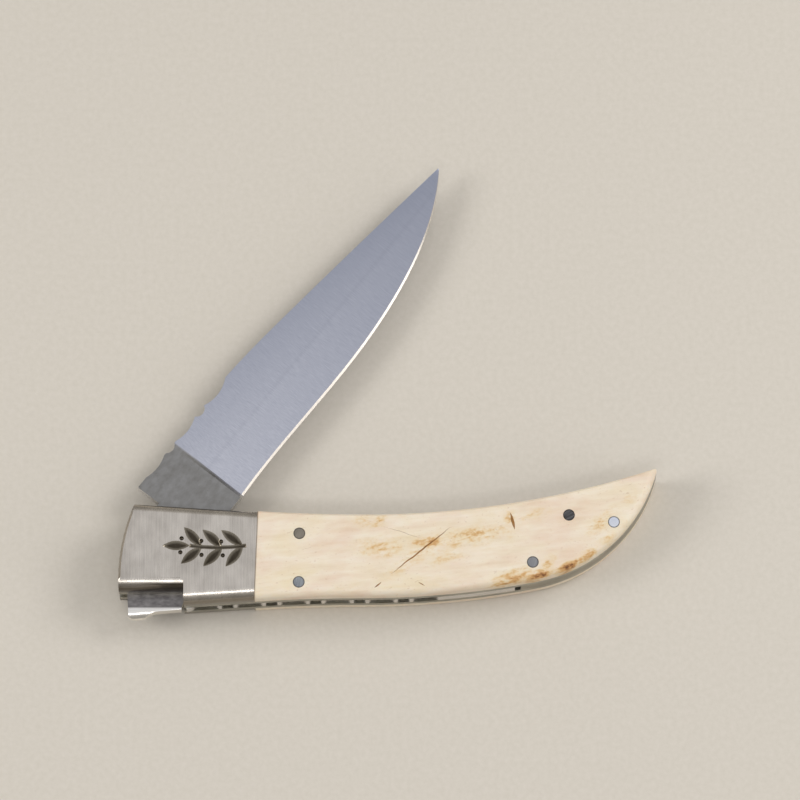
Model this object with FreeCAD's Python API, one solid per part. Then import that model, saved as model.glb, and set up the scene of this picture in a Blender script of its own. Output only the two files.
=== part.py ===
import FreeCAD, Part
import math
import os

# Folding pocket knife with a rocking lock bar in its back, lying on its rear side and half open.
# Millimetres. The origin is on the blade pivot's axis, in the plane that the knife lies on.
# X runs along the handle to its tail, Y from the handle's back to its blade side, Z up.

# Layers through the handle
scale_thickness = 3.5
liner_thickness = 1.6
slot_width = 3.2
side_play = 0.06

# Handle seen from the side, measured from the blade pivot
nose_reach = 9.0
nose_radius = 44.0
nose_drop = 8.0
bolster_reach = 21.6
bolster_joint_lean = 2.0
top_at_joint = 7.4
top_at_waist = 6.6
top_waist_from_joint = 24.4
back_at_pivot = 14.0
back_at_joint = 12.6
back_waist_from_joint = 23.4
back_at_swell = 8.1
swell_from_tail = 27.0
tail_reach = 111.0
tail_rise = 17.3
tail_lean = 55.0
tail_blunting = 0.35
nose_chamfer = 0.5
bolster_top_rounding = 1.8
bolster_back_rounding = 2.7
scale_top_chamfer = 0.4
scale_back_rounding = 1.7

# Notch in the bolsters and liners that bares the head of the lock bar
notch_reach = 5.5
notch_ceiling = 10.5
notch_corner = 1.4

# Pins: diameters, places from the bolster's joint or the tail, and depths below the handle's edges
pin_diameter = 2.6
pivot_pin_diameter = 4.0
rivet_diameter = 2.0
seat_play = 0.01
running_play = 0.04
lock_pin_from_joint = 9.5
lock_pin_inset = 3.2
fore_pin_from_joint = 9.6
fore_pin_inset = 4.7
spacer_pin_from_tail = 27.9
spacer_pin_inset = 3.9
aft_pin_from_tail = 19.8
aft_pin_inset = 5.3
tail_pin_from_tail = 9.8
tail_pin_below_point = 12.5
blind_depth = 2.2
rivet_from_joint = 7.6
rivet_spread = 9.0

# Blade, seen with its ricasso's spine level; heights are measured from the pivot
blade_rest_angle = 51.9
blade_closing_angle = 48.4
blade_opening_angle = 131.5
tip_cover = 2.5
tip_height = 5.9
tip_blunting = 0.3
tip_thickness = 0.9
spine_height = 12.6
spine_crown = 0.4
heel_depth = 6.9
heel_sway = 0.3
stop_reach = 8.0
step_height = 6.6
plunge_reach = 21.2
plunge_ramp = 0.9
cam_radius = 7.0
edge_bevel_width = 0.5
edge_shoulder = 0.36
edge_thickness = 0.1

# Lock bar and its leaf spring
bar_depth = 3.1
bar_rear_from_tail = 31.8
bar_gap = 1.3
head_inner = 8.0
head_shank = 8.0
head_ramp = 8.0
head_rounding = 2.0
head_land = 0.1
head_swell = 0.4
lobe_length = 6.4
lobe_height = 1.8
lobe_from_front = 2.2
lobe_turn = 36.0
groove_width = 1.1
groove_depth = 1.6
boss_wall = 1.4
boss_flare = 5.0
tooth_width = 2.4
tooth_gap = 0.2
tooth_drop = 0.48
tooth_play = 0.35
stop_gap = 0.25
spring_thickness = 0.7
spring_width = 2.6
spring_root = 5.5
spring_wall = 0.75
spring_reach = 20.0
spring_gap = 0.05
closed_gap = 0.6

# File-work on the lock bar and on the blade's spine: long and short hollows with ridges between them
file_ridge = 0.7
long_hollow_depth = 0.6
short_hollow_depth = 0.75
bar_long_hollow = 5.8
bar_short_hollow = 2.6
bar_file_start = 7.4
bar_plain_rear = 15.2
spine_long_hollow = 6.4
spine_short_hollow = 3.0
spine_file_start = 2.9
spine_file_end = 31.2

# Worked-out levels and places
rear_liner_z = scale_thickness
slot_z = rear_liner_z + liner_thickness
front_liner_z = slot_z + slot_width
front_scale_z = front_liner_z + liner_thickness
handle_thickness = front_scale_z + scale_thickness
middle_z = handle_thickness / 2
moving_thickness = slot_width - 2 * side_play
bar_rear_x = tail_reach - bar_rear_from_tail
spacer_front_x = bar_rear_x + bar_gap
spring_tip_x = spacer_front_x - spring_reach
far = 4 * tail_reach


def point(x, y, z=0.0):
    return FreeCAD.Vector(x, y, z)


def heading(angle):
    return point(math.cos(angle), math.sin(angle))


def curve_through(points):
    curve = Part.BSplineCurve()
    curve.interpolate(points)
    return curve.toShape()


def tangent_arcs(start, angle, places):
    """Arcs from start through the places, each going on in the direction in which the last arrives."""
    arcs = []
    for end in places:
        chord = end - start
        bend = math.remainder(math.atan2(chord.y, chord.x) - angle, 2 * math.pi)
        middle = (start + end) * 0.5 + point(chord.y, -chord.x) * (math.tan(bend / 2) / 2)
        arcs.append(Part.Arc(start, middle, end).toShape())
        angle += 2 * bend
        start = end
    return arcs, angle


def polygon_prism(points, bottom, height):
    corners = [point(x, y, bottom) for x, y in points]
    face = Part.Face(Part.makePolygon(corners + corners[:1]))
    return face.extrude(point(0, 0, height))


def cylinder(x, y, radius, bottom, height):
    return Part.makeCylinder(radius, height, point(x, y, bottom))


def layer(bottom, height):
    return Part.makeBox(2 * far, 2 * far, height, point(-far, -far, bottom))


def height_at(line, x):
    upright = Part.makeLine(point(x, -far), point(x, far))
    return line.distToShape(upright)[1][0][0].y


def turned(shape, angle):
    copy = shape.copy()
    copy.rotate(point(0, 0), point(0, 0, 1), angle)
    return copy


def handle_edge(joint_height, flare, waist_from_joint, knots):
    """Long edge of the handle: straight along the bolster, level at the waist, curved to the tail.

    It ends in a short straight run past the tail point, where the tail's own edge cuts it off.
    """
    joint = point(bolster_reach, joint_height)
    waist = joint + point(waist_from_joint, waist_from_joint * math.tan(flare / 2))
    fore_end = joint - heading(flare) * (bolster_reach + 2 * nose_reach)
    arcs, end_angle = tangent_arcs(joint, flare, [waist] + knots)
    tail_run = Part.makeLine(knots[-1], knots[-1] + heading(end_angle) * handle_thickness)
    return Part.Wire([Part.makeLine(fore_end, joint)] + arcs + [tail_run])


# Handle: four edge lines bound a solid from which the layers are cut. The bolsters' edges are rolled
# over, while the scales and liners have a crisper solid on the same lines.
tail_point = point(tail_reach, tail_rise)
top_flare = 2 * math.atan2(top_at_waist - top_at_joint, top_waist_from_joint)
back_flare = math.atan2(back_at_pivot - back_at_joint, bolster_reach)
swell = point(tail_reach - swell_from_tail, -back_at_swell)
top_edge = handle_edge(top_at_joint, top_flare, top_waist_from_joint, [tail_point])
back_edge = handle_edge(-back_at_joint, back_flare, back_waist_from_joint, [swell, tail_point])
nose_centre_x = nose_radius - nose_reach
nose_half_angle = math.radians(35)
nose_chord_x = nose_centre_x - nose_radius * math.cos(nose_half_angle)
nose_half_chord = nose_radius * math.sin(nose_half_angle)
nose_edge = Part.Wire(Part.Arc(
    point(nose_chord_x, nose_half_chord - nose_drop),
    point(-nose_reach, -nose_drop),
    point(nose_chord_x, -nose_half_chord - nose_drop),
).toShape())
tail_out = heading(math.radians(tail_lean))
tail_side = point(-tail_out.y, tail_out.x) * tail_rise
tail_cut = tail_point - tail_out * tail_blunting
tail_edge = Part.Wire(Part.makeLine(tail_cut + tail_side, tail_cut - tail_side))


def edge_slab(line, corners, height=handle_thickness):
    """Slab bounded by one edge line and the rims of that edge on both faces."""
    run = line.Edges
    start = run[0].valueAt(run[0].FirstParameter)
    end = run[-1].valueAt(run[-1].LastParameter)
    outline = [end] + corners + [start]
    sides = [Part.makeLine(a, b) for a, b in zip(outline, outline[1:])]
    slab = Part.Face(Part.Wire(run + sides)).extrude(point(0, 0, height))
    rims = []
    for candidate in slab.Edges:
        middle = candidate.valueAt((candidate.FirstParameter + candidate.LastParameter) / 2)
        at_face = min(abs(middle.z), abs(middle.z - height)) < 1e-6
        below = Part.Vertex(middle.x, middle.y, 0)
        if at_face and line.distToShape(below)[0] < 1e-6:
            rims.append(candidate)
    return slab, rims


def rounded_slab(line, corners, rounding):
    slab, rims = edge_slab(line, corners)
    return slab.makeFillet(rounding, rims)


def chamfered_slab(line, corners, chamfer):
    slab, rims = edge_slab(line, corners)
    return slab.makeChamfer(chamfer, rims)


def handle_body(under_top, over_back):
    before_tail = rounded_slab(tail_edge, [point(-far, -far), point(-far, far)], tail_blunting)
    nose_corners = [point(far, -nose_half_chord - nose_drop), point(far, nose_half_chord - nose_drop)]
    behind_nose = chamfered_slab(nose_edge, nose_corners, nose_chamfer)
    return under_top.common(over_back).common(behind_nose).common(before_tail)


corners_below = [point(far, -far), point(-far, -far)]
corners_above = [point(far, far), point(-far, far)]
bolster_body = handle_body(
    rounded_slab(top_edge, corners_below, bolster_top_rounding),
    rounded_slab(back_edge, corners_above, bolster_back_rounding))
handle = handle_body(
    chamfered_slab(top_edge, corners_below, scale_top_chamfer),
    rounded_slab(back_edge, corners_above, scale_back_rounding))


def notch_cutter():
    """Room at the back of the bolsters and liners, with the bolster edge above it rounded over."""
    notch_edge = Part.Wire(Part.makeLine(point(-far, -notch_ceiling), point(far, -notch_ceiling)))
    kept = rounded_slab(notch_edge, corners_above, bolster_back_rounding)
    room_top = bolster_back_rounding - notch_ceiling
    room = Part.makeBox(far, far, handle_thickness, point(notch_reach - far, room_top - far, 0))
    corner = [e for e in room.Edges if abs(e.CenterOfMass.x - notch_reach) < 1e-6
              and abs(e.CenterOfMass.y - room_top) < 1e-6]
    return room.makeFillet(notch_corner, corner).cut(kept)


notch = notch_cutter()


def bolster_side():
    """Everything on the bolster's side of the leaning joint between bolster and scale."""
    block = Part.makeBox(2 * far, 2 * far, handle_thickness, point(bolster_reach - 2 * far, -far, 0))
    block.rotate(point(bolster_reach, 0), point(0, 0, 1), -bolster_joint_lean)
    return block


bolster_block = bolster_side()

# Places of the pins and rivets
pin_radius = pin_diameter / 2
rivet_radius = rivet_diameter / 2
pivot_radius = pivot_pin_diameter / 2
lock_pin_x = bolster_reach + lock_pin_from_joint
lock_pin_y = height_at(back_edge, lock_pin_x) + lock_pin_inset
spacer_pin_x = tail_reach - spacer_pin_from_tail
spacer_pin_y = height_at(back_edge, spacer_pin_x) + spacer_pin_inset
fore_pin_x = bolster_reach + fore_pin_from_joint
fore_pin_y = height_at(top_edge, fore_pin_x) - fore_pin_inset
aft_pin_x = tail_reach - aft_pin_from_tail
aft_pin_y = height_at(top_edge, aft_pin_x) - aft_pin_inset
through_pins = {
    "lock_bar_pin": (lock_pin_x, lock_pin_y),
    "spacer_pin": (spacer_pin_x, spacer_pin_y),
    "tail_pin": (tail_reach - tail_pin_from_tail, tail_rise - tail_pin_below_point),
}
short_pins = {
    "fore_pin": (fore_pin_x, fore_pin_y),
    "aft_pin": (aft_pin_x, aft_pin_y),
}
rivet_places = [(bolster_reach - rivet_from_joint, side * rivet_spread / 2 - rivet_diameter)
                for side in (-1, 1)]


def drilled(plate, places, radius):
    """Plate with a hole of the pin's seat at each place."""
    for x, y in places:
        plate = plate.cut(cylinder(x, y, radius + seat_play, 0, handle_thickness))
    return plate


def liner(bottom):
    plate = handle.common(layer(bottom, liner_thickness)).cut(notch)
    plate = drilled(plate, list(through_pins.values()) + list(short_pins.values()), pin_radius)
    plate = drilled(plate, [(0, 0)], pivot_radius)
    return drilled(plate, rivet_places, rivet_radius)


def bolster(bottom, blind_bottom):
    """Bolster with blind holes, opening on the liner's side, for the pivot pin and the rivets."""
    cap = bolster_body.common(layer(bottom, scale_thickness)).common(bolster_block).cut(notch)
    holes = [(0, 0, pivot_radius)] + [(x, y, rivet_radius) for x, y in rivet_places]
    for x, y, radius in holes:
        cap = cap.cut(cylinder(x, y, radius + seat_play, blind_bottom, blind_depth))
    return cap


def scale(bottom):
    plate = handle.common(layer(bottom, scale_thickness)).cut(bolster_block)
    return drilled(plate, list(through_pins.values()) + list(short_pins.values()), pin_radius)


def through_pin(x, y):
    return cylinder(x, y, pin_radius, 0, handle_thickness).common(handle)


def short_pin(x, y, bottom):
    length = liner_thickness + scale_thickness
    return cylinder(x, y, pin_radius, bottom, length).common(handle)


def rivets(bottom):
    length = liner_thickness + blind_depth
    return Part.makeCompound([cylinder(x, y, rivet_radius, bottom, length) for x, y in rivet_places])


def pivot_pin():
    bottom = rear_liner_z - blind_depth
    return cylinder(0, 0, pivot_radius, bottom, 2 * (middle_z - bottom))


def hollow_cutters(place, start, end, long_hollow, short_hollow, bottom):
    """File-work: pairs of ridges with a short hollow between them and a long one to the next pair.

    place gives a point of the worked edge and the way out of the metal for a distance along it.
    """
    cutters = []
    at = start
    while at + long_hollow <= end:
        short_at = at + long_hollow + file_ridge
        for middle, width, depth in (
            (at + long_hollow / 2, long_hollow, long_hollow_depth),
            (short_at + short_hollow / 2, short_hollow, short_hollow_depth),
        ):
            if middle + width / 2 > end:
                continue
            radius = (width * width / 4 + depth * depth) / (2 * depth)
            spot, outward = place(middle)
            centre = spot + outward * (radius - depth)
            cutters.append(cylinder(centre.x, centre.y, radius, bottom, moving_thickness))
        at = short_at + short_hollow + file_ridge
    return cutters


# Blade, made with its ricasso's spine along X and turned to its place.
# Each profile gives heights at shares of the ground length: the spine has a slight crown and then
# falls to the tip, the edge runs almost straight from the heel and has a long belly.
blade_half = moving_thickness / 2
tip_radius = tail_reach - tip_cover
tip_x = math.sqrt(tip_radius ** 2 - tip_height ** 2)
ground_length = tip_x - plunge_reach
spine_drop = spine_height - tip_height
edge_rise = heel_depth + tip_height
spine_profile = [
    (0.0, spine_height),
    (0.25, spine_height + spine_crown),
    (0.47, spine_height - 0.2 * spine_drop),
    (0.73, spine_height - 0.58 * spine_drop),
    (1.0, tip_height),
]
edge_profile = [
    (0.0, -heel_depth),
    (0.2, -heel_depth + heel_sway),
    (0.46, -heel_depth + heel_sway / 3),
    (0.7, -heel_depth + 0.17 * edge_rise),
    (0.88, -heel_depth + 0.52 * edge_rise),
    (1.0, tip_height - tip_blunting),
]


def spine_rail(side):
    points = []
    for share, height in spine_profile:
        half = blade_half * (1 - share) + tip_thickness / 2 * share
        points.append(point(plunge_reach + share * ground_length, height, side * half))
    return curve_through(points)


def edge_rail(inward, z):
    """Line along the cutting edge, or further in; the way in fades out towards the tip."""
    points = []
    for share, height in edge_profile:
        lift = inward * (1 - 0.9 * share ** 6)
        points.append(point(plunge_reach + share * ground_length, height + lift, z))
    return curve_through(points)


def ground_blade():
    """Flat-ground part with its edge bevel, closed by ruled faces, and the ramp of the plunge line."""
    ring = [
        spine_rail(1),
        edge_rail(edge_bevel_width, edge_shoulder),
        edge_rail(0, edge_thickness / 2),
        edge_rail(0, -edge_thickness / 2),
        edge_rail(edge_bevel_width, -edge_shoulder),
        spine_rail(-1),
    ]
    faces = [Part.makeRuledSurface(a, b) for a, b in zip(ring, ring[1:] + ring[:1])]
    root = [rail.valueAt(rail.FirstParameter) for rail in ring]
    tip = [rail.valueAt(rail.LastParameter) for rail in ring]
    for loop in (root, tip):
        faces.append(Part.Face(Part.makePolygon(loop + loop[:1])))
    shell = Part.makeShell(faces)
    shell.sewShape()
    ground = Part.makeSolid(shell)
    full = [point(p.x - plunge_ramp, p.y, math.copysign(blade_half, p.z)) for p in root]
    full[2].z = blade_half - edge_thickness
    full[3].z = edge_thickness - blade_half
    ramp_ends = [Part.makePolygon(loop + loop[:1]) for loop in (full, root)]
    ramp = Part.makeLoft(ramp_ends, True, True)
    return ramp.fuse(ground)


def blade():
    ramp_start = plunge_reach - plunge_ramp
    ricasso = polygon_prism([
        (stop_reach, step_height),
        (stop_reach, spine_height),
        (ramp_start, spine_height),
        (ramp_start, -heel_depth),
        (0, -cam_radius),
        (0, step_height),
    ], -blade_half, moving_thickness)
    tang = cylinder(0, 0, cam_radius, -blade_half, moving_thickness)
    body = ricasso.fuse(tang).fuse(ground_blade())
    body = body.cut(cylinder(0, 0, pivot_radius + running_play, -blade_half, moving_thickness))

    def on_spine(distance):
        return point(stop_reach + distance, spine_height), point(0, 1)

    for cutter in hollow_cutters(on_spine, spine_file_start, spine_file_end,
                                 spine_long_hollow, spine_short_hollow, -blade_half):
        body = body.cut(cutter)
    body = turned(body, blade_rest_angle)
    notch_width = tooth_width + 2 * tooth_play
    notch_floor = cam_radius - (tooth_drop - tooth_gap) - tooth_play
    slot = Part.makeBox(notch_width, cam_radius, moving_thickness,
                        point(-notch_width / 2, -notch_floor - cam_radius, -blade_half))
    for angle in (0, blade_closing_angle, -blade_opening_angle):
        body = body.cut(turned(slot, angle))
    body.translate(point(0, 0, middle_z))
    return body.removeSplitter()


# Back pieces between the liners: the part of the slot that each may fill
slot_block = handle.common(layer(slot_z, slot_width))


def slot_strip(depth):
    """Strip of even depth along the handle's back."""
    shifted = slot_block.copy()
    shifted.translate(point(0, depth, 0))
    return slot_block.cut(shifted)


def arch_corners(ridge, run, bottom):
    """Two corners to take off the bar's head, so that its back is arched from side to side.

    The arch has its ridge on a straight line, which starts at the given point.
    """
    half = moving_thickness / 2
    out = point(-run.y, run.x)
    spread = math.acos((head_rounding - half) / head_rounding)
    foot = ridge - out * (head_rounding * math.sin(spread)) + point(0, 0, bottom + half)
    peak = ridge + point(0, 0, bottom + half)
    corners = []
    for side in (-1, 1):
        up = point(0, 0, side)
        centre = foot + up * (half - head_rounding)
        halfway = up * math.cos(spread / 2) + out * math.sin(spread / 2)
        shoulder = foot + up * half
        arch = Part.Arc(shoulder, centre + halfway * head_rounding, peak).toShape()
        beyond = peak + out * half
        outline = [peak, beyond, beyond + up * 2 * half, shoulder + up * half, shoulder]
        sides = [Part.makeLine(a, b) for a, b in zip(outline, outline[1:])]
        corners.append(Part.Face(Part.Wire([arch] + sides)).extrude(run * far))
    return corners


def lock_bar():
    bottom = slot_z + side_play
    head_back = height_at(back_edge, 0)
    open_direction = math.radians(blade_rest_angle + blade_opening_angle)
    along = heading(open_direction)
    across = point(-along.y, along.x)
    stop_face = along * (stop_reach - stop_gap)
    stop_foot = stop_face - across * head_back
    ramp_x = head_shank + head_ramp
    ramp_y = height_at(back_edge, ramp_x)
    tooth_y = -cam_radius - tooth_gap
    back_down = point(math.sin(back_flare), -math.cos(back_flare))
    dip_x = stop_foot.x + lobe_length
    lobe_x = stop_foot.x + lobe_from_front
    dip = point(dip_x, height_at(back_edge, dip_x)) + back_down * head_swell
    lobe = point(lobe_x, height_at(back_edge, lobe_x)) + back_down * lobe_height
    to_front = math.atan2(dip.y - ramp_y, dip.x - ramp_x)
    lobe_end = heading(to_front - math.radians(lobe_turn) / 2)
    front_low = lobe + lobe_end * ((stop_face - lobe).dot(along) / lobe_end.dot(along))
    thumb_arcs, _ = tangent_arcs(dip, to_front, [(dip + lobe) * 0.5, lobe, front_low])
    thumb_edge = Part.Wire([Part.makeLine(point(ramp_x, ramp_y), dip)] + thumb_arcs)
    head, _ = edge_slab(thumb_edge, [
        stop_face + across * head_inner,
        point(-tooth_width / 2, -head_inner),
        point(-tooth_width / 2, tooth_y),
        point(tooth_width / 2, tooth_y),
        point(tooth_width / 2, -head_inner),
        point(head_shank, -head_inner),
        point(ramp_x, ramp_y + bar_depth),
    ], moving_thickness)
    head.translate(point(0, 0, bottom))
    boss_radius = pin_radius + boss_wall
    flank = boss_radius + boss_flare
    saddle = polygon_prism([
        (lock_pin_x - flank, height_at(back_edge, lock_pin_x - flank) + bar_depth / 2),
        (lock_pin_x - flank, height_at(back_edge, lock_pin_x - flank) + bar_depth),
        (lock_pin_x - boss_radius / 2, lock_pin_y + boss_radius * math.cos(math.pi / 6)),
        (lock_pin_x + boss_radius / 2, lock_pin_y + boss_radius * math.cos(math.pi / 6)),
        (lock_pin_x + flank, height_at(back_edge, lock_pin_x + flank) + bar_depth),
        (lock_pin_x + flank, height_at(back_edge, lock_pin_x + flank) + bar_depth / 2),
    ], bottom, moving_thickness)
    boss = cylinder(lock_pin_x, lock_pin_y, boss_radius, bottom, moving_thickness)
    arm_length = Part.makeBox(bar_rear_x - head_shank, 2 * far, moving_thickness,
                              point(head_shank, -far, bottom))
    arm = slot_strip(bar_depth).common(arm_length)
    bar = arm.fuse([head, saddle, boss])
    bar = bar.cut(cylinder(lock_pin_x, lock_pin_y, pin_radius + running_play, bottom, moving_thickness))
    groove_y = height_at(back_edge, notch_reach)
    groove = polygon_prism([
        (notch_reach - groove_width / 2, groove_y - groove_depth),
        (notch_reach - groove_width / 2, groove_y),
        (notch_reach, groove_y + groove_depth),
        (notch_reach + groove_width / 2, groove_y),
        (notch_reach + groove_width / 2, groove_y - groove_depth),
    ], bottom, moving_thickness)
    run = heading(to_front)
    ridge = lobe + point(-run.y, run.x) * head_land
    ridge_start = ridge + run * (point(notch_reach, groove_y) - ridge).dot(run)
    bar = bar.cut([groove] + arch_corners(ridge_start, run, bottom))

    def on_back(x):
        spot = point(x, height_at(back_edge, x))
        ahead = point(x + file_ridge, height_at(back_edge, x + file_ridge))
        run = (ahead - spot).normalize()
        return spot, point(run.y, -run.x)

    file_end = bar_rear_x - bar_plain_rear
    for cutter in hollow_cutters(on_back, bar_file_start, file_end,
                                 bar_long_hollow, bar_short_hollow, bottom):
        bar = bar.cut(cutter)
    return bar.removeSplitter()


spring_root_y = spacer_pin_y + pin_radius + spring_wall


def tail_spacer():
    """Back piece from the bar's rear end to the tail, hollowed to clear the closed blade."""
    rear = Part.makeBox(far, 2 * far, slot_width, point(spacer_front_x, -far, slot_z))
    belly = edge_rail(0, 0)
    belly.translate(point(closed_gap, -closed_gap))
    heel = belly.valueAt(belly.FirstParameter)
    tip = belly.valueAt(belly.LastParameter)
    corners = [tip, point(tip.x, far), point(heel.x, far), heel]
    sides = [Part.makeLine(a, b) for a, b in zip(corners, corners[1:])]
    room = Part.Face(Part.Wire([belly] + sides)).extrude(point(0, 0, handle_thickness))
    spacer = slot_block.common(rear).cut(turned(room, blade_rest_angle - blade_closing_angle))
    spacer = drilled(spacer, [through_pins["spacer_pin"], through_pins["tail_pin"]], pin_radius)
    seat = Part.makeBox(spring_root, spring_thickness + 2 * seat_play, slot_width,
                        point(spacer_front_x, spring_root_y - seat_play, slot_z))
    return spacer.cut(seat)


def lock_spring():
    """Leaf rooted in the tail spacer, bent down on to the rear arm of the lock bar."""
    root_x = spacer_front_x + spring_root - seat_play
    tip_y = height_at(back_edge, spring_tip_x) + bar_depth + spring_gap
    drop = spring_root_y - tip_y
    bend = [
        point(spacer_front_x, spring_root_y),
        point(spacer_front_x - 0.3 * spring_reach, spring_root_y - 0.12 * drop),
        point(spacer_front_x - 0.65 * spring_reach, spring_root_y - 0.5 * drop),
        point(spring_tip_x, tip_y),
    ]
    up = point(0, spring_thickness)
    lower = curve_through(bend)
    upper = curve_through([p + up for p in bend])
    root_low = point(root_x, spring_root_y)
    outline = Part.Wire([
        Part.makeLine(root_low, bend[0]),
        lower,
        Part.makeLine(bend[-1], bend[-1] + up),
        upper,
        Part.makeLine(bend[0] + up, root_low + up),
        Part.makeLine(root_low + up, root_low),
    ])
    leaf = Part.Face(outline).extrude(point(0, 0, spring_width))
    leaf.translate(point(0, 0, middle_z - spring_width / 2))
    return leaf


pieces = {
    "rear_liner": liner(rear_liner_z),
    "front_liner": liner(front_liner_z),
    "rear_bolster": bolster(0, rear_liner_z - blind_depth),
    "front_bolster": bolster(front_scale_z, front_scale_z),
    "rear_scale": scale(0),
    "front_scale": scale(front_scale_z),
    "rear_bolster_rivets": rivets(rear_liner_z - blind_depth),
    "front_bolster_rivets": rivets(front_liner_z),
    "blade": blade(),
    "blade_pivot_pin": pivot_pin(),
    "lock_bar": lock_bar(),
    "lock_spring": lock_spring(),
    "tail_spacer": tail_spacer(),
}
for name, place in through_pins.items():
    pieces[name] = through_pin(*place)
for name, place in short_pins.items():
    pieces["rear_scale_" + name] = short_pin(*place, 0)
    pieces["front_scale_" + name] = short_pin(*place, front_liner_z)

os.makedirs("parts", exist_ok=True)
for name, shape in pieces.items():
    shape.exportStep("parts/" + name + ".step")
    print(name, "solids", len(shape.Solids), "valid", shape.isValid(), "volume", round(shape.Volume, 1))
print("lock bar pin at", round(lock_pin_x, 3), round(lock_pin_y, 3), round(middle_z, 3))
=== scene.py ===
import math

import bmesh
import bpy
from mathutils import Matrix, Vector


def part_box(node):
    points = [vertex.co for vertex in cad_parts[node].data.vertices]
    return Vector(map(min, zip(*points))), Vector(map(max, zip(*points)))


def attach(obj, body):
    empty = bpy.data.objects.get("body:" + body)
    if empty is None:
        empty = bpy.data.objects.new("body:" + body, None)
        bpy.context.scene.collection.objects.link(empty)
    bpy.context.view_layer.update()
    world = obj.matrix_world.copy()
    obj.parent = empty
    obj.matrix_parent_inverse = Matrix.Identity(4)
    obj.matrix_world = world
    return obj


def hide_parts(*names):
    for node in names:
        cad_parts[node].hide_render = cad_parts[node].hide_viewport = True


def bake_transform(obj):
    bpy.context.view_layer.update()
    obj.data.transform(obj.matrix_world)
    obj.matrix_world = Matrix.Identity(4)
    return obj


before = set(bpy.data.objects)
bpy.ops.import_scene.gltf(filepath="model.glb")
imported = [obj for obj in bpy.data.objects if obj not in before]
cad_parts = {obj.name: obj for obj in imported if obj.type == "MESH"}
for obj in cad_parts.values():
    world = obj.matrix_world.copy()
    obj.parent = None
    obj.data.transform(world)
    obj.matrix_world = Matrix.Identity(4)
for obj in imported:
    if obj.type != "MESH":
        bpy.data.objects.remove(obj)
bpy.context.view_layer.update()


# Liners
# Two plates of sheet steel that carry all the other pieces. They are sawn out and ground flat with
# lines along the handle, and their edges are dressed flush when the handle is pinned up.
MM = 0.001
CLOUD_SIZES = (6 * MM, 4 * MM, 4 * MM)
LINE_DEPTH = 0.02 * MM


def srgb(red, green, blue):
    """Colour as a screen shows it, 0 to 255, turned into linear light."""
    channels = [value / 255 for value in (red, green, blue)]
    return [c / 12.92 if c <= 0.04045 else ((c + 0.055) / 1.055) ** 2.4 for c in channels] + [1.0]


def add_node(tree, kind, sockets, **settings):
    """New node with its settings made and its input sockets set, or linked where a socket is given."""
    node = tree.nodes.new(kind)
    for name, value in settings.items():
        setattr(node, name, value)
    for name, value in sockets.items():
        if isinstance(value, bpy.types.NodeSocket):
            tree.links.new(value, node.inputs[name])
        else:
            node.inputs[name].default_value = value
    return node.outputs


def calculate(tree, operation, first, second=0.0):
    return add_node(tree, "ShaderNodeMath", {0: first, 1: second}, operation=operation)["Value"]


def between(tree, value, low, high, to_low, to_high):
    """Value carried from one range to another, and kept inside it."""
    return add_node(tree, "ShaderNodeMapRange", {
        "Value": value, "From Min": low, "From Max": high, "To Min": to_low, "To Max": to_high,
    })["Result"]


def ramp(tree, factor, stops):
    """Colour picked by a factor from stops of position and colour."""
    outputs = add_node(tree, "ShaderNodeValToRGB", {"Fac": factor})
    elements = outputs["Color"].node.color_ramp.elements
    for element, (position, colour) in zip(elements, (stops[0], stops[-1])):
        element.position = position
        element.color = colour
    for position, colour in stops[1:-1]:
        elements.new(position).color = colour
    return outputs["Color"]


def object_place(tree):
    return add_node(tree, "ShaderNodeTexCoord", {})["Object"]


def seen_from(tree, place, origin=(0, 0, 0), turn=0, units=(1, 1, 1)):
    """Place measured from an origin, along axes turned about Z by degrees, in a unit for each axis."""
    return add_node(tree, "ShaderNodeMapping", {
        "Vector": place, "Location": origin, "Rotation": (0, 0, math.radians(turn)), "Scale": units,
    }, vector_type="TEXTURE")["Vector"]


def stretched_noise(tree, place, turn, sizes, detail):
    """Noise whose grains have the given sizes, in metres, along axes turned about Z by degrees."""
    grain = seen_from(tree, place, turn=turn, units=sizes)
    return add_node(tree, "ShaderNodeTexNoise", {
        "Vector": grain, "Scale": 1.0, "Detail": detail, "Roughness": 0.6,
    })["Fac"]


def new_surface(name, metallic):
    """Material with its tree, its shader and a socket of object coordinates."""
    material = bpy.data.materials.new(name)
    material.use_nodes = True
    tree = material.node_tree
    shader = tree.nodes["Principled BSDF"]
    shader.inputs["Metallic"].default_value = metallic
    return material, tree, shader, object_place(tree)


def dress(tree, shader, tone, roughness, height, relief, depth=LINE_DEPTH):
    """Give a shader its tone, its roughness and a fine relief from a height between 0 and 1."""
    tree.links.new(tone, shader.inputs["Base Color"])
    tree.links.new(roughness, shader.inputs["Roughness"])
    normal = add_node(tree, "ShaderNodeBump", {
        "Height": height, "Strength": relief, "Distance": depth,
    })["Normal"]
    tree.links.new(normal, shader.inputs["Normal"])


def lined_finish(name, dark, light, roughness, turn, line_length, line_width, relief, metallic=1.0):
    """Surface with fine lines, which run at a turn from the handle's length, and a cloudy tone."""
    material, tree, shader, place = new_surface(name, metallic)
    lines = stretched_noise(tree, place, turn, (line_length, line_width, line_width), detail=3.0)
    cloud = stretched_noise(tree, place, turn, CLOUD_SIZES, detail=2.0)
    shade = between(tree, calculate(tree, "ADD", lines, cloud), 0.7, 1.3, 0.0, 1.0)
    tone = ramp(tree, shade, [(0.0, dark), (1.0, light)])
    rough = between(tree, lines, 0.3, 0.7, roughness - 0.05, roughness + 0.07)
    dress(tree, shader, tone, rough, lines, relief)
    return material


def finish_nodes(material, names):
    for name in names:
        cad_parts[name].material_slots[0].material = material


liner_steel = lined_finish(
    "liner_steel", dark=srgb(132, 128, 114), light=srgb(184, 180, 166), roughness=0.3,
    turn=0, line_length=14 * MM, line_width=0.12 * MM, relief=0.15)
finish_nodes(liner_steel, ["rear_liner", "front_liner"])


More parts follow.
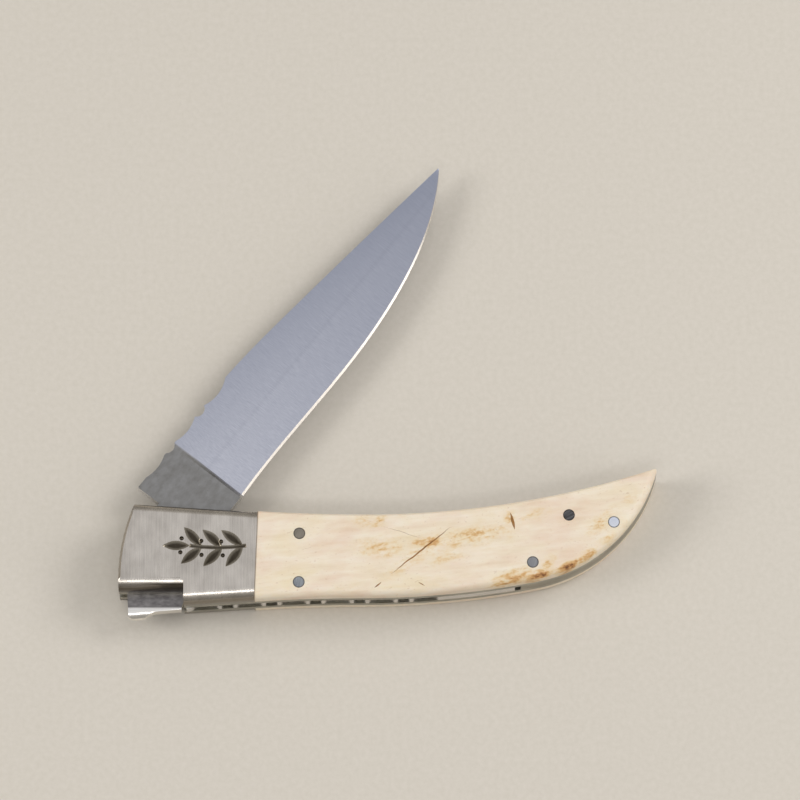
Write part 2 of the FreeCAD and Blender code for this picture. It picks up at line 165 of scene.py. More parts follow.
# Pivot pin and bolster rivets
# Turned steel pins. The blade swings on the pivot pin, and the rivets hold each bolster on its liner.
# They stay hidden, because their blind holes open only on the liners' side of the bolsters.
hidden_pin_steel = lined_finish(
    "hidden_pin_steel", dark=srgb(140, 140, 142), light=srgb(190, 190, 192), roughness=0.3,
    turn=0, line_length=1 * MM, line_width=0.1 * MM, relief=0.1)
finish_nodes(hidden_pin_steel, ["blade_pivot_pin", "rear_bolster_rivets", "front_bolster_rivets"])


# Bolsters
# Solid steel caps riveted on the liners and brushed across the handle. Where their edges roll over, the
# colour is darkened with painted shade, darkest on the roll over the notch. The front one carries a leaf
# sprig, chip-cut by hand and left dark in its cuts.
NOTCH_END = 5.5 * MM
NOTCH_ROLL_FROM = -7.8 * MM
CUT_DARK_DEPTH = 0.4 * MM
SPRIG_ROOT = (19.4 * MM, -0.6 * MM)
SPRIG_SIZES = {
    "Stem Length": 12.6 * MM,
    "Stem Bow": 0.9 * MM,
    "Stem Width": 0.9 * MM,
    "Leaf Length": 6.0 * MM,
    "Leaf Width": 2.2 * MM,
    "Leaf Spread": math.radians(44),
    "Leaf Fullness": 0.8,
    "Leaf Tip": 0.03,
    "Cut Depth": 0.62 * MM,
    "Leaf Pairs": 3,
    "Pairs From": 0.06,
    "Pairs To": 0.78,
    "Berry Radius": 0.5 * MM,
    "Berry Radii Aside": 3.2,
    "Berry Leaf Share": 0.78,
}
MERGE_REACH = 0.001 * MM
SAME_PLANE_ANGLE = math.radians(0.05)
SHARP_EDGE_ANGLE = math.radians(28)
front_face_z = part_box("front_bolster")[1].z


def axes_of(tree, vector):
    return add_node(tree, "ShaderNodeSeparateXYZ", {"Vector": vector})


def flatness(tree):
    """How squarely a face looks along Z, from 0 on an upright wall to 1 on a flat side."""
    facing = add_node(tree, "ShaderNodeTexCoord", {})["Normal"]
    return calculate(tree, "ABSOLUTE", axes_of(tree, facing)["Z"])


def laid_over(tree, amount, under, over):
    """One colour laid over another by an amount."""
    return add_node(tree, "ShaderNodeMixRGB", {"Fac": amount, "Color1": under, "Color2": over})["Color"]


def tinted(material, amount, colour):
    """Lay a colour over a material's tone, by the amount that a socket of its tree gives."""
    tree = material.node_tree
    base = tree.nodes["Principled BSDF"].inputs["Base Color"]
    tone = base.links[0].from_socket
    tree.links.new(laid_over(tree, amount, tone, colour), base)
    return material


def bolster_finish():
    material = lined_finish(
        "bolster_steel", dark=srgb(190, 182, 172), light=srgb(230, 222, 211), roughness=0.26,
        turn=90, line_length=9 * MM, line_width=0.08 * MM, relief=0.15)
    tree = material.node_tree
    flat = flatness(tree)
    # Walls and rolled edges, away from the flat sides: painted shade, brownish, standing in for dark
    # reflections.
    tinted(material, between(tree, flat, 0.85, 0.5, 0.0, 0.75), srgb(104, 97, 85))
    # Roll over the notch: darker still, painted shade.
    axes = axes_of(tree, object_place(tree))
    over_notch = calculate(
        tree, "MULTIPLY",
        calculate(tree, "LESS_THAN", axes["X"], NOTCH_END),
        calculate(tree, "LESS_THAN", axes["Y"], NOTCH_ROLL_FROM))
    notch_roll_painted_shade = calculate(tree, "MULTIPLY", over_notch, between(tree, flat, 0.8, 0.5, 0.0, 0.6))
    return tinted(material, notch_roll_painted_shade, srgb(44, 36, 26))


def cut_finish():
    material = lined_finish(
        "cut_steel", dark=srgb(136, 126, 108), light=srgb(190, 180, 162), roughness=0.2,
        turn=90, line_length=1 * MM, line_width=0.2 * MM, relief=0.15)
    tree = material.node_tree
    height = axes_of(tree, object_place(tree))["Z"]
    depth = between(tree, height, front_face_z, front_face_z - CUT_DARK_DEPTH, 0.25, 0.9)
    return tinted(material, depth, srgb(52, 44, 34))


bolster_steel = bolster_finish()
cut_steel = cut_finish()


def new_object(name, data):
    """Object with the given mesh, lamp or camera, put into the scene."""
    holder = bpy.data.objects.new(name, data)
    bpy.context.scene.collection.objects.link(holder)
    return holder


def settle(piece):
    """Turn a piece and its modifiers into a plain mesh."""
    depsgraph = bpy.context.evaluated_depsgraph_get()
    mesh = bpy.data.meshes.new_from_object(piece.evaluated_get(depsgraph), depsgraph=depsgraph)
    piece.modifiers.clear()
    piece.data = mesh


def new_tree(name, sizes):
    """Geometry tree with an input for each named size, and the sockets of its group input."""
    tree = bpy.data.node_groups.new(name, "GeometryNodeTree")
    for size, value in sizes.items():
        kind = "NodeSocketInt" if isinstance(value, int) else "NodeSocketFloat"
        tree.interface.new_socket(size, in_out="INPUT", socket_type=kind)
    tree.interface.new_socket("Geometry", in_out="OUTPUT", socket_type="NodeSocketGeometry")
    return tree, add_node(tree, "NodeGroupInput", {})


def end_tree(tree, geometry, material):
    solid = add_node(tree, "GeometryNodeRealizeInstances", {"Geometry": geometry})["Geometry"]
    dressed = add_node(tree, "GeometryNodeSetMaterial", {"Geometry": solid, "Material": material})["Geometry"]
    add_node(tree, "NodeGroupOutput", {"Geometry": dressed})


def grown(name, tree, sizes):
    """Object with the plain mesh that a geometry tree gives for the named sizes."""
    holder = new_object(name, bpy.data.meshes.new(name))
    modifier = holder.modifiers.new(name, "NODES")
    modifier.node_group = tree
    for item in tree.interface.items_tree:
        if item.in_out == "INPUT":
            modifier[item.identifier] = sizes[item.name]
    settle(holder)
    return holder


def point(tree, x=0.0, y=0.0, z=0.0):
    return add_node(tree, "ShaderNodeCombineXYZ", {"X": x, "Y": y, "Z": z})["Vector"]


def swelling(tree, share):
    """From 0 at both ends of a piece to 1 in its middle, by the share of its length."""
    return calculate(tree, "SINE", calculate(tree, "MULTIPLY", share, math.pi))


def chip_leaf(tree, size):
    """Leaf along X, pointed at both ends, with a keel as deep as the cut."""
    bar = add_node(tree, "GeometryNodeMeshCylinder", {
        "Vertices": 4, "Side Segments": 12, "Radius": 1.0, "Depth": 1.0,
    })["Mesh"]
    spot = add_node(tree, "GeometryNodeInputPosition", {})["Position"]
    axes = axes_of(tree, spot)
    share = calculate(tree, "ADD", axes["Z"], 0.5)
    swell = calculate(tree, "POWER", swelling(tree, share), size["Leaf Fullness"])
    fullness = calculate(tree, "MAXIMUM", swell, size["Leaf Tip"])
    half_width = calculate(tree, "MULTIPLY", size["Leaf Width"], 0.5)
    aside = calculate(tree, "MULTIPLY", axes["X"], half_width)
    down = calculate(tree, "MULTIPLY", axes["Y"], size["Cut Depth"])
    leaf_spot = point(
        tree,
        calculate(tree, "MULTIPLY", share, size["Leaf Length"]),
        calculate(tree, "MULTIPLY", aside, fullness),
        calculate(tree, "MULTIPLY", down, fullness))
    return add_node(tree, "GeometryNodeSetPosition", {"Geometry": bar, "Position": leaf_spot})["Geometry"]


def moved(tree, shape, way):
    return add_node(tree, "GeometryNodeTransform", {"Geometry": shape, "Translation": way})["Geometry"]


def set_on(tree, points, shape, rotation):
    """Copies of a shape on points, each turned as its point says."""
    return add_node(tree, "GeometryNodeInstanceOnPoints", {
        "Points": points, "Instance": shape, "Rotation": rotation,
    })["Instances"]


def sprig_tree():
    """Bowed stem with pairs of pointed leaves, a leaf at its end and berries between the pairs."""
    tree, size = new_tree("leaf_sprig", SPRIG_SIZES)
    half_length = calculate(tree, "MULTIPLY", size["Stem Length"], 0.5)
    half_width = calculate(tree, "MULTIPLY", size["Stem Width"], 0.5)
    middle = point(tree, half_length, size["Stem Bow"])
    end = point(tree, size["Stem Length"])
    stem = add_node(tree, "GeometryNodeCurveQuadraticBezier", {
        "Resolution": 24, "Start": (0, 0, 0), "Middle": middle, "End": end,
    })["Curve"]
    section = add_node(tree, "GeometryNodeCurvePrimitiveCircle", {"Resolution": 4, "Radius": half_width})
    stem_cut = add_node(tree, "GeometryNodeCurveToMesh", {
        "Curve": stem, "Profile Curve": section["Curve"], "Fill Caps": True,
    })["Mesh"]

    leafy_part = add_node(tree, "GeometryNodeTrimCurve", {
        "Curve": stem, "Start": size["Pairs From"], "End": size["Pairs To"],
    })["Curve"]
    joints = add_node(tree, "GeometryNodeCurveToPoints", {"Curve": leafy_part, "Count": size["Leaf Pairs"]})
    run = add_node(tree, "FunctionNodeAlignRotationToVector", {
        "Vector": joints["Tangent"],
    }, axis="X")["Rotation"]
    leaf = chip_leaf(tree, size)
    berry = add_node(tree, "GeometryNodeMeshIcoSphere", {
        "Radius": size["Berry Radius"], "Subdivisions": 2,
    })["Mesh"]
    berry_along = calculate(tree, "MULTIPLY", size["Leaf Length"], size["Berry Leaf Share"])
    berry_aside = calculate(tree, "MULTIPLY", size["Berry Radius"], size["Berry Radii Aside"])
    cuts = [stem_cut]
    for side in (-1, 1):
        spread = point(tree, z=calculate(tree, "MULTIPLY", size["Leaf Spread"], side))
        leaf_turn = add_node(tree, "FunctionNodeRotateRotation", {
            "Rotation": run, "Rotate By": spread,
        }, rotation_space="LOCAL")["Rotation"]
        cuts.append(set_on(tree, joints["Points"], leaf, leaf_turn))
        berry_spot = point(tree, berry_along, calculate(tree, "MULTIPLY", berry_aside, side))
        cuts.append(set_on(tree, joints["Points"], moved(tree, berry, berry_spot), run))
    cuts.append(moved(tree, leaf, end))
    joined = tree.nodes.new("GeometryNodeJoinGeometry")
    for cut in cuts:
        tree.links.new(cut, joined.inputs["Geometry"])
    end_tree(tree, joined.outputs["Geometry"], cut_steel)
    return tree


def carved_copy(name, node_name, material, cutters):
    """Closed copy of a CAD node with the cutters taken out of it; cut faces keep the cutters' material."""
    copy = bmesh.new()
    copy.from_mesh(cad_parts[node_name].data)
    bmesh.ops.remove_doubles(copy, verts=copy.verts, dist=MERGE_REACH)
    bmesh.ops.dissolve_limit(copy, angle_limit=SAME_PLANE_ANGLE, verts=copy.verts, edges=copy.edges)
    mesh = bpy.data.meshes.new(name)
    copy.to_mesh(mesh)
    copy.free()
    mesh.materials.append(material)
    piece = new_object(name, mesh)
    for cutter in cutters:
        modifier = piece.modifiers.new(cutter.name, "BOOLEAN")
        modifier.object = cutter
        modifier.solver = "EXACT"
        modifier.use_self = True
        modifier.material_mode = "TRANSFER"
    settle(piece)
    for cutter in cutters:
        bpy.data.objects.remove(cutter)
    piece.data.shade_smooth()
    piece.data.set_sharp_from_angle(angle=SHARP_EDGE_ANGLE)
    modifier = piece.modifiers.new("flat_faces_stay_flat", "WEIGHTED_NORMAL")
    modifier.keep_sharp = True
    settle(piece)
    return piece


sprig = grown("sprig_cutter", sprig_tree(), SPRIG_SIZES)
sprig.data.transform(
    Matrix.Translation((*SPRIG_ROOT, front_face_z)) @ Matrix.Rotation(math.pi, 4, "Z"))
front_bolster = carved_copy("front_bolster_engraved", "front_bolster", bolster_steel, [sprig])
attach(front_bolster, "handle")
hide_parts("front_bolster")
finish_nodes(bolster_steel, ["rear_bolster"])


# Scales
# Plates of polished bone, pinned to the liners and rounded over along their edges. Brown stains lie
# along the grain, darkest at the back near the tail, and a few drying cracks run across it.
CRACKS = [
    # start and end in mm, width in mm
    ((51.5, -7.2), (65.0, 3.7), 0.34),
    ((47.8, -10.3), (49.5, -8.9), 0.3),
    ((57.6, -8.9), (59.2, -9.8), 0.22),
    ((49.5, 3.9), (59.2, 0.8), 0.06),
    ((79.1, 3.0), (78.2, 7.0), 0.66),
]
CRACK_SIZES = {
    # each crack has its own length and width, and a narrow one is less deep
    "Length": 10 * MM,
    "Half Width": 0.15 * MM,
    "Depth": 0.16 * MM,
    "Wander": 0.7 * MM,
    "Bends Per Metre": 0.35 / MM,
    "Tip": 0.05,
}
CRACK_POINTS = 28
WIDTHS_PER_DEPTH = 3
FRONT_STAINS = [
    # place along and across in mm, length and width in mm, turn in degrees, strength
    (49.3, -0.9, 9.0, 4.2, 0, 0.54),
    (60.0, 0.2, 8.0, 3.4, 20, 0.62),
    (47.6, 5.0, 7.0, 2.6, 0, 0.56),
    (64.5, -2.6, 8.0, 4.2, 15, 0.45),
    (69.5, 1.5, 14.0, 3.6, 12, 0.62),
    (83.0, 6.0, 9.0, 3.2, 18, 0.4),
    (98.6, 5.0, 8.0, 3.0, 40, 0.5),
    (104.6, 10.4, 5.0, 2.6, 30, 0.42),
    (78.2, -8.2, 8.0, 2.6, 22, 0.78),
    (84.2, -7.4, 5.4, 1.7, 20, 0.96),
    (86.3, -5.0, 5.0, 2.0, 55, 0.6),
    (90.6, -5.6, 4.6, 1.5, 32, 0.98),
    (95.0, -3.0, 5.6, 2.0, 38, 0.62),
    (99.8, 0.4, 5.0, 2.2, 40, 0.5),
    (27.0, -1.0, 9.0, 5.0, 5, 0.2),
    (57.6, -2.5, 15.0, 3.0, 38, 0.5),
    (78.1, 4.8, 6.0, 2.4, 92, 0.5),
]
REAR_STAINS = [
    (36.0, -3.0, 12.0, 3.4, -6, 0.6),
    (44.0, 4.2, 10.0, 3.0, 4, 0.55),
    (58.0, -7.4, 9.0, 3.0, 8, 0.9),
    (66.0, -1.0, 16.0, 3.2, 14, 0.6),
    (80.0, 4.4, 9.0, 3.0, 24, 0.5),
    (92.0, 1.4, 7.0, 2.6, 36, 0.8),
    (101.0, 9.0, 6.0, 2.6, 45, 0.5),
]
STAIN_HALF_SIZES_TO_FADE = 2.2
STAIN_DEPTH = 3 * MM
FIBRE_DEPTH = 0.03 * MM
BOLSTER_JOINT = 21.6 * MM
BOLSTER_JOINT_DEGREES = -2
GRIME_FULL_TO = 0.06 * MM
GRIME_TO = 0.3 * MM
rear_face_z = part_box("rear_scale")[0].z
crack_brown = lined_finish(
    "crack_brown", dark=srgb(120, 78, 34), light=srgb(180, 130, 70), roughness=0.7,
    turn=0, line_length=1 * MM, line_width=0.3 * MM, relief=0.2, metallic=0.0)


def strongest(tree, amounts):
    """Largest of several amounts, place by place."""
    result = amounts[0]
    for amount in amounts[1:]:
        result = calculate(tree, "MAXIMUM", result, amount)
    return result


def length_of(tree, vector):
    return add_node(tree, "ShaderNodeVectorMath", {0: vector}, operation="LENGTH")["Value"]


def stain_strength(tree, place, stains, face_z):
    """How strongly a place is stained: soft ovals at the given places, clotted and torn by noise."""
    ovals = []
    for along, across, length, width, turn, strength in stains:
        middle = (along * MM, across * MM, face_z)
        near = seen_from(tree, place, middle, turn, (length / 2 * MM, width / 2 * MM, STAIN_DEPTH))
        ovals.append(between(tree, length_of(tree, near), STAIN_HALF_SIZES_TO_FADE, 0.0, 0.0, strength))
    freckles = stretched_noise(tree, place, turn=10, sizes=(0.8 * MM, 0.6 * MM, 0.6 * MM), detail=3.0)
    cloud = stretched_noise(tree, place, turn=14, sizes=(4.2 * MM, 1.4 * MM, 1.4 * MM), detail=6.0)
    clots = between(tree, freckles, 0.35, 0.65, 0.74, 1.2)
    tears = between(tree, cloud, 0.3, 0.7, 0.35, 1.4)
    clotted = calculate(tree, "MULTIPLY", strongest(tree, ovals), clots)
    return calculate(tree, "MULTIPLY", clotted, tears)


def bone(name, stains, face_z):
    """Polished bone: cream along the grain, stains, small dark specks, and grime along the bolster."""
    material, tree, shader, place = new_surface(name, 0.0)
    streaks = stretched_noise(tree, place, turn=6, sizes=(9 * MM, 1.6 * MM, 1.6 * MM), detail=5.0)
    patches = stretched_noise(tree, place, turn=10, sizes=(16 * MM, 7 * MM, 7 * MM), detail=3.0)
    fibres = stretched_noise(tree, place, turn=6, sizes=(2.4 * MM, 0.3 * MM, 0.3 * MM), detail=4.0)
    specks = stretched_noise(tree, place, turn=10, sizes=(0.7 * MM, 0.4 * MM, 0.4 * MM), detail=2.0)
    cream = ramp(tree, streaks, [
        (0.28, srgb(224, 203, 172)), (0.46, srgb(238, 222, 198)), (0.66, srgb(246, 236, 220))])
    blush = ramp(tree, patches, [
        (0.36, srgb(231, 203, 180)), (0.52, srgb(242, 228, 206)), (0.7, srgb(235, 218, 178))])
    ivory = laid_over(tree, 0.5, cream, blush)

    stained = stain_strength(tree, place, stains, face_z)
    brown = ramp(tree, stained, [
        (0.1, srgb(240, 228, 206)), (0.36, srgb(231, 204, 158)), (0.6, srgb(211, 163, 103)),
        (0.82, srgb(158, 103, 52)), (1.0, srgb(88, 52, 22))])
    tone = laid_over(tree, between(tree, stained, 0.08, 0.45, 0.0, 0.95), ivory, brown)
    speckled = calculate(tree, "MULTIPLY", between(tree, specks, 0.64, 0.76, 0.0, 0.7), patches)
    tone = laid_over(tree, speckled, tone, srgb(172, 122, 72))
    from_joint = seen_from(tree, place, (BOLSTER_JOINT, 0, 0), BOLSTER_JOINT_DEGREES)
    grime = between(tree, axes_of(tree, from_joint)["X"], GRIME_FULL_TO, GRIME_TO, 0.85, 0.0)
    tone = laid_over(tree, grime, tone, srgb(92, 74, 56))

    dress(tree, shader, tone, between(tree, streaks, 0.3, 0.7, 0.34, 0.46), fibres, 0.1, FIBRE_DEPTH)
    shader.inputs["Specular IOR Level"].default_value = 0.4
    shader.inputs["Subsurface Weight"].default_value = 0.12
    shader.inputs["Subsurface Radius"].default_value = (1.0, 0.7, 0.45)
    shader.inputs["Subsurface Scale"].default_value = 0.6 * MM
    return material


def crack_tree():
    """Thin wandering wedge along X, pointed at both ends."""
    tree, size = new_tree("drying_crack", CRACK_SIZES)
    end = point(tree, size["Length"])
    line = add_node(tree, "GeometryNodeCurvePrimitiveLine", {"End": end})["Curve"]
    line = add_node(tree, "GeometryNodeResampleCurve", {"Curve": line, "Count": CRACK_POINTS})["Curve"]
    spot = add_node(tree, "GeometryNodeInputPosition", {})["Position"]
    noise = add_node(tree, "ShaderNodeTexNoise", {
        "Vector": spot, "Scale": size["Bends Per Metre"], "Detail": 2.0,
    })["Fac"]
    sway = calculate(tree, "MULTIPLY", calculate(tree, "SUBTRACT", noise, 0.5), size["Wander"])
    aside = point(tree, y=sway)
    line = add_node(tree, "GeometryNodeSetPosition", {"Geometry": line, "Offset": aside})["Geometry"]
    share = add_node(tree, "GeometryNodeSplineParameter", {})["Factor"]
    fullness = calculate(tree, "MAXIMUM", swelling(tree, share), size["Tip"])
    section = add_node(tree, "GeometryNodeCurvePrimitiveCircle", {"Resolution": 4, "Radius": 1.0})["Curve"]
    shape = point(tree, size["Half Width"], size["Depth"], 1.0)
    section = add_node(tree, "GeometryNodeTransform", {"Geometry": section, "Scale": shape})["Geometry"]
    wedge = add_node(tree, "GeometryNodeCurveToMesh", {
        "Curve": line, "Profile Curve": section, "Scale": fullness, "Fill Caps": True,
    })["Mesh"]
    end_tree(tree, wedge, crack_brown)
    return tree


wedge_tree = crack_tree()
crack_cutters = []
for number, (start, end, width) in enumerate(CRACKS):
    run = (Vector(end) - Vector(start)) * MM
    cutter = grown(f"crack_cutter_{number}", wedge_tree, CRACK_SIZES | {
        "Length": run.length,
        "Half Width": width / 2 * MM,
        "Depth": min(CRACK_SIZES["Depth"], width / WIDTHS_PER_DEPTH * MM),
    })
    cutter.data.transform(
        Matrix.Translation((start[0] * MM, start[1] * MM, front_face_z))
        @ Matrix.Rotation(math.atan2(run.y, run.x), 4, "Z"))
    crack_cutters.append(cutter)
front_bone = bone("front_bone", FRONT_STAINS, front_face_z)
front_scale = carved_copy("front_scale_bone", "front_scale", front_bone, crack_cutters)
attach(front_scale, "handle")
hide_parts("front_scale")
finish_nodes(bone("rear_bone", REAR_STAINS, rear_face_z), ["rear_scale"])


# Scale and back pins
# Steel rod cut to length, driven through the holes and filed flush with the bone, each with the
# scratches of its own filing and a dark rim; the one at the tail is buffed bright.
SCRATCH_LENGTH = 3 * MM
RIM_FROM_RADIUS_SHARE = 0.8
RIM_DARK_RADIUS_SHARE = 0.95
PIN_FINISHES = [
    # pins, dark and light tone, roughness, turn of the scratches in degrees and their width
    (["front_scale_fore_pin", "rear_scale_fore_pin"], (118, 112, 102), (160, 152, 140), 0.36, 60, 0.16 * MM),
    (["lock_bar_pin"], (146, 150, 154), (182, 186, 190), 0.3, 80, 0.16 * MM),
    (["spacer_pin"], (146, 146, 148), (184, 184, 186), 0.34, 70, 0.16 * MM),
    (["front_scale_aft_pin", "rear_scale_aft_pin"], (22, 22, 23), (132, 130, 130), 0.24, 35, 0.5 * MM),
    (["tail_pin"], (234, 238, 250), (250, 252, 255), 0.16, 30, 0.16 * MM),
]


def pin_steel(pin, dark, light, roughness, turn, scratch_width):
    low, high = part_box(pin)
    radius = (high.x - low.x) / 2
    material = lined_finish(
        pin + "_steel", srgb(*dark), srgb(*light), roughness,
        turn, SCRATCH_LENGTH, scratch_width, relief=0.2)
    tree = material.node_tree
    middle = ((low.x + high.x) / 2, (low.y + high.y) / 2, 0)
    from_axis = seen_from(tree, object_place(tree), middle, units=(radius, radius, 1))
    radius_share = length_of(tree, from_axis)
    rim = between(tree, radius_share, RIM_FROM_RADIUS_SHARE, RIM_DARK_RADIUS_SHARE, 0.0, 0.9)
    return tinted(material, rim, srgb(52, 45, 38))


for pins, *finish in PIN_FINISHES:
    finish_nodes(pin_steel(pins[0], *finish), pins)


# Tail spacer
# Plain back piece of steel, as thick as the slot between the liners. It is filed to their line, pinned
# for good between them, and holds the root of the lock spring.
spacer_steel = lined_finish(
    "spacer_steel", dark=srgb(120, 114, 98), light=srgb(172, 166, 150), roughness=0.32,
    turn=0, line_length=10 * MM, line_width=0.12 * MM, relief=0.2)
finish_nodes(spacer_steel, ["tail_spacer"])


# Lock spring
# Narrow leaf of tempered steel, rooted in the tail spacer, that presses on the lock bar's rear arm and
# bends as the bar rocks. Here it is a plain copy of the CAD piece, neither attached nor bent.
spring_steel = lined_finish(
    "spring_steel", dark=srgb(74, 80, 96), light=srgb(118, 126, 142), roughness=0.28,
    turn=0, line_length=8 * MM, line_width=0.12 * MM, relief=0.1)
lock_spring = carved_copy("lock_spring_leaf", "lock_spring", spring_steel, [])
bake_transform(lock_spring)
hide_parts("lock_spring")


# Lock bar
# Rocker filed from thick steel. Its sides keep a dull ground skin with small marks, the thumb head is
# buffed bright up to a line along its arched back, and the hollows filed in its back are darkened with
# painted shade.
HEAD_END = 5.5 * MM
HEAD_EDGE = 0.2 * MM
BUFFED_TO_Y = -13.8 * MM
DULL_FROM_Y = -13.4 * MM
FILED_FROM = 7.4 * MM
FILED_TO = 62.5 * MM
LONG_HOLLOW = 5.8 * MM
SHORT_HOLLOW = 2.6 * MM
FILE_RIDGE = 0.7 * MM
HOLLOW_SLOPE = 0.5 * MM


def apart(tree, value, mark):
    """How far a value lies from a mark, on either side."""
    return calculate(tree, "ABSOLUTE", calculate(tree, "SUBTRACT", value, mark))


def painted_hollow_shade(tree, along):
    """How much painted shade a place along the bar's back takes, from 0 on the ridges to 1 inside a filed
    hollow.
    """
    pitch = LONG_HOLLOW + SHORT_HOLLOW + 2 * FILE_RIDGE
    phase = calculate(tree, "FLOORED_MODULO", calculate(tree, "SUBTRACT", along, FILED_FROM), pitch)
    shades = []
    for start, width in ((0.0, LONG_HOLLOW), (LONG_HOLLOW + FILE_RIDGE, SHORT_HOLLOW)):
        from_middle = apart(tree, phase, start + width / 2)
        shades.append(between(tree, from_middle, width / 2, width / 2 - HOLLOW_SLOPE, 0.0, 1.0))
    filed = calculate(
        tree, "MULTIPLY",
        calculate(tree, "GREATER_THAN", along, FILED_FROM),
        calculate(tree, "LESS_THAN", along, FILED_TO))
    return calculate(tree, "MULTIPLY", strongest(tree, shades), filed)


def lock_finish():
    material, tree, shader, place = new_surface("lock_steel", 1.0)
    axes = axes_of(tree, place)
    side = between(tree, flatness(tree), 0.9, 0.97, 0.0, 1.0)
    dull = between(tree, axes["Y"], BUFFED_TO_Y, DULL_FROM_Y, 0.0, 1.0)
    skinned = calculate(tree, "MULTIPLY", side, dull)
    behind_head = between(tree, axes["X"], HEAD_END, HEAD_END + HEAD_EDGE, 0.0, 1.0)
    mottle = stretched_noise(tree, place, turn=0, sizes=(1.8 * MM, 0.9 * MM, 0.9 * MM), detail=5.0)
    lines = stretched_noise(tree, place, turn=4, sizes=(5 * MM, 0.12 * MM, 0.12 * MM), detail=3.0)
    skin = ramp(tree, mottle, [(0.3, srgb(108, 104, 104)), (0.7, srgb(158, 154, 152))])
    buffed = ramp(tree, lines, [(0.3, srgb(246, 240, 231)), (0.7, srgb(255, 252, 247))])
    plain = ramp(tree, lines, [(0.3, srgb(206, 203, 198)), (0.7, srgb(242, 240, 238))])
    # Filed hollows: the back's colour darkened with painted shade.
    filed = laid_over(tree, painted_hollow_shade(tree, axes["X"]), plain, srgb(84, 75, 62))
    back = laid_over(tree, behind_head, buffed, filed)
    tone = laid_over(tree, skinned, back, skin)
    dress(tree, shader, tone, between(tree, skinned, 0.0, 1.0, 0.24, 0.4), lines, relief=0.15)
    return material


finish_nodes(lock_finish(), ["lock_bar"])


# Blade
# Hardened steel, ground flat on both sides with the lines across it and honed to a bright bevel. The
# ricasso keeps a darker, mottled skin, and the spine is filed like the lock bar.
BLADE_DEGREES = 51.9
PLUNGE_AT = 21.2 * MM
PLUNGE_EDGE = 0.4 * MM
HONED_EDGE = 0.1 * MM
TIP_AT = 108 * MM
SPINE_SHADE_FROM = 2 * MM
SPINE_SHADE_TO = 13 * MM
GRIND_LINE_Y = 3.2 * MM
GRIND_LINE_REACH = 0.7 * MM


def satin_grind(tree, lines, along, across):
    """Ground side of the blade with a faint grind line, darkened towards its spine and its point with painted
    shade.
    """
    ground = ramp(tree, lines, [(0.3, srgb(196, 198, 209)), (0.7, srgb(222, 223, 232))])
    # Darker towards the spine and the point: painted shade.
    painted_spine_shade = between(tree, across, SPINE_SHADE_FROM, SPINE_SHADE_TO, 0.0, 0.25)
    painted_tip_shade = between(tree, along, PLUNGE_AT, TIP_AT, 0.0, 0.65)
    satin = laid_over(tree, calculate(tree, "ADD", painted_spine_shade, painted_tip_shade), ground, srgb(148, 154, 172))
    grind_line = between(tree, apart(tree, across, GRIND_LINE_Y), GRIND_LINE_REACH, 0.0, 0.0, 0.1)
    return laid_over(tree, grind_line, satin, srgb(140, 143, 158))


def ricasso_skin(tree, place):
    """Mottled grey with small dark marks."""
    mottle = stretched_noise(tree, place, BLADE_DEGREES, (2.4 * MM, 1.6 * MM, 1.6 * MM), detail=5.0)
    specks = stretched_noise(tree, place, BLADE_DEGREES, (0.5 * MM, 0.5 * MM, 0.5 * MM), detail=2.0)
    skin = ramp(tree, mottle, [(0.3, srgb(138, 136, 133)), (0.7, srgb(158, 157, 156))])
    return laid_over(tree, between(tree, specks, 0.7, 0.78, 0.0, 0.5), skin, srgb(52, 50, 48))


def blade_finish():
    material, tree, shader, place = new_surface("blade_steel", 1.0)
    axes = axes_of(tree, seen_from(tree, place, turn=BLADE_DEGREES))
    flat = flatness(tree)
    lines = stretched_noise(tree, place, BLADE_DEGREES, (0.08 * MM, 7 * MM, 0.08 * MM), detail=2.0)
    file_marks = stretched_noise(tree, place, BLADE_DEGREES, (0.1 * MM, 5 * MM, 5 * MM), detail=3.0)
    ricasso = between(tree, axes["X"], PLUNGE_AT, PLUNGE_AT - PLUNGE_EDGE, 0.0, 1.0)
    past_plunge = between(tree, axes["X"], PLUNGE_AT, PLUNGE_AT + HONED_EDGE, 0.0, 1.0)
    bevel = calculate(tree, "MULTIPLY", between(tree, flat, 0.95, 0.9, 0.0, 1.0), past_plunge)
    wall = between(tree, flat, 0.7, 0.4, 0.0, 1.0)
    filed = ramp(tree, file_marks, [(0.3, srgb(208, 207, 206)), (0.7, srgb(234, 233, 232))])
    satin = satin_grind(tree, lines, axes["X"], axes["Y"])
    sides = laid_over(tree, ricasso, satin, ricasso_skin(tree, place))
    honed = laid_over(tree, bevel, sides, srgb(242, 234, 224))
    tone = laid_over(tree, wall, honed, filed)
    dress(tree, shader, tone, between(tree, ricasso, 0.0, 1.0, 0.3, 0.42), lines, relief=0.2)
    return material


finish_nodes(blade_finish(), ["blade"])


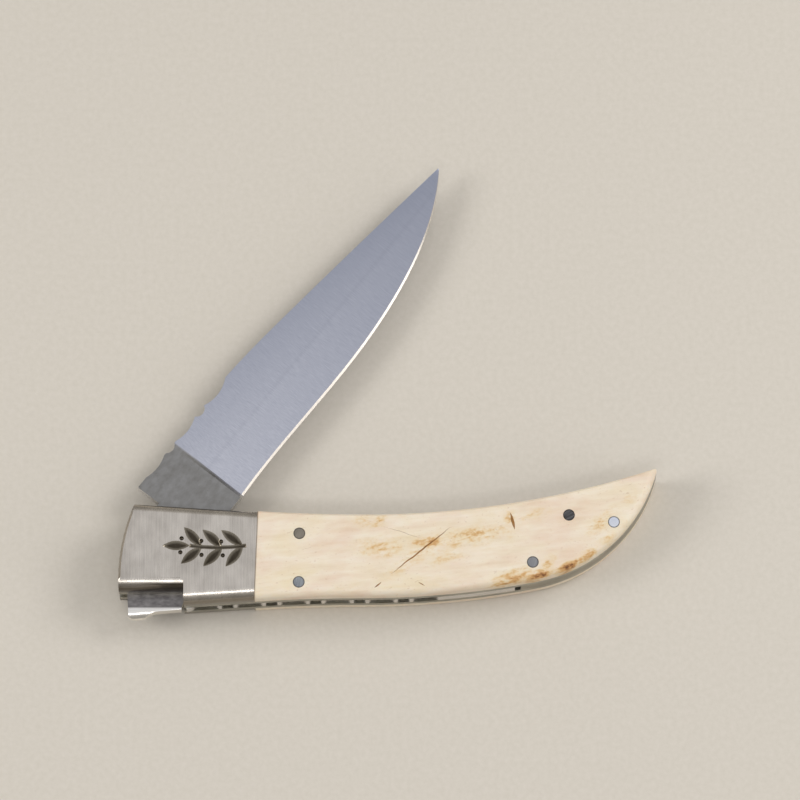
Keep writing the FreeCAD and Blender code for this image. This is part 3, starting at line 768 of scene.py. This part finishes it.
# Studio
# Pale paper on a table under a graded sky. Two broad lamps stand at the sides, a long one below the
# camera, and a low one at the right for the rolled edges. The camera looks down at 75 degrees.
FLOOR_REACH = 3.0
FLOOR_GAP = 0.02 * MM
AIM = Vector((53.59 * MM, 34.68 * MM, 6.7 * MM))
VIEW_DISTANCE = 1509.6 * MM
VIEW_TILT = math.radians(15)
PHOTO_FOCAL_PIXELS = 6720
PHOTO_WIDTH_PIXELS = 800
LAMPS = [
    # name, place in metres, width and height in metres, power in watts
    ("left_lamp", (-0.75, -0.06, 0.68), 0.45, 0.45, 3.5),
    ("right_lamp", (0.79, 0.34, 0.70), 0.45, 0.45, 3.8),
    ("camera_lamp", (0.05, -0.55, 1.15), 0.6, 0.16, 1.6),
    ("edge_lamp", (0.753, -0.17, 0.325), 0.36, 0.44, 0.85),
]
SKY_TONES = [
    # height, from 0 at the horizon to 1 overhead, and light
    (0.0, (0.28, 0.27, 0.25, 1)),
    (0.55, (0.3, 0.29, 0.27, 1)),
    (0.85, (0.44, 0.43, 0.42, 1)),
    (0.95, (0.66, 0.67, 0.70, 1)),
]
paper, paper_tree, paper_shader, paper_place = new_surface("pale_paper", 0.0)
paper_grain = stretched_noise(
    paper_tree, paper_place, turn=0, sizes=(1.2 * MM, 1.2 * MM, 1.2 * MM), detail=4.0)
paper_tone = ramp(paper_tree, paper_grain, [(0.3, srgb(212, 205, 193)), (0.7, srgb(218, 211, 200))])
paper_tree.links.new(paper_tone, paper_shader.inputs["Base Color"])
paper_shader.inputs["Roughness"].default_value = 0.9
floor_mesh = bpy.data.meshes.new("paper_floor")
corners = [(-1, -1), (1, -1), (1, 1), (-1, 1)]
floor_mesh.from_pydata(
    [(x * FLOOR_REACH, y * FLOOR_REACH, -FLOOR_GAP) for x, y in corners], [], [(0, 1, 2, 3)])
floor_mesh.materials.append(paper)
paper_floor = new_object("paper_floor", floor_mesh)

for name, place, width, height, power in LAMPS:
    lamp = bpy.data.lights.new(name, "AREA")
    lamp.shape = "RECTANGLE"
    lamp.size = width
    lamp.size_y = height
    lamp.energy = power
    holder = new_object(name, lamp)
    holder.location = place
    holder.rotation_euler = (AIM - Vector(place)).to_track_quat("-Z", "Y").to_euler()

sky = bpy.data.worlds.new("studio_air")
sky.use_nodes = True
sky_place = add_node(sky.node_tree, "ShaderNodeTexCoord", {})["Generated"]
sky_tone = ramp(sky.node_tree, axes_of(sky.node_tree, sky_place)["Z"], SKY_TONES)
sky.node_tree.links.new(sky_tone, sky.node_tree.nodes["Background"].inputs["Color"])
bpy.context.scene.world = sky

lens = bpy.data.cameras.new("photo_camera")
lens.sensor_width = 36
lens.lens = lens.sensor_width * PHOTO_FOCAL_PIXELS / PHOTO_WIDTH_PIXELS
lens.clip_end = 10
camera = new_object("photo_camera", lens)
camera.location = AIM + VIEW_DISTANCE * Vector((0, -math.sin(VIEW_TILT), math.cos(VIEW_TILT)))
camera.rotation_euler = (VIEW_TILT, 0, 0)
bpy.context.scene.camera = camera
bpy.context.scene.view_settings.view_transform = "Standard"
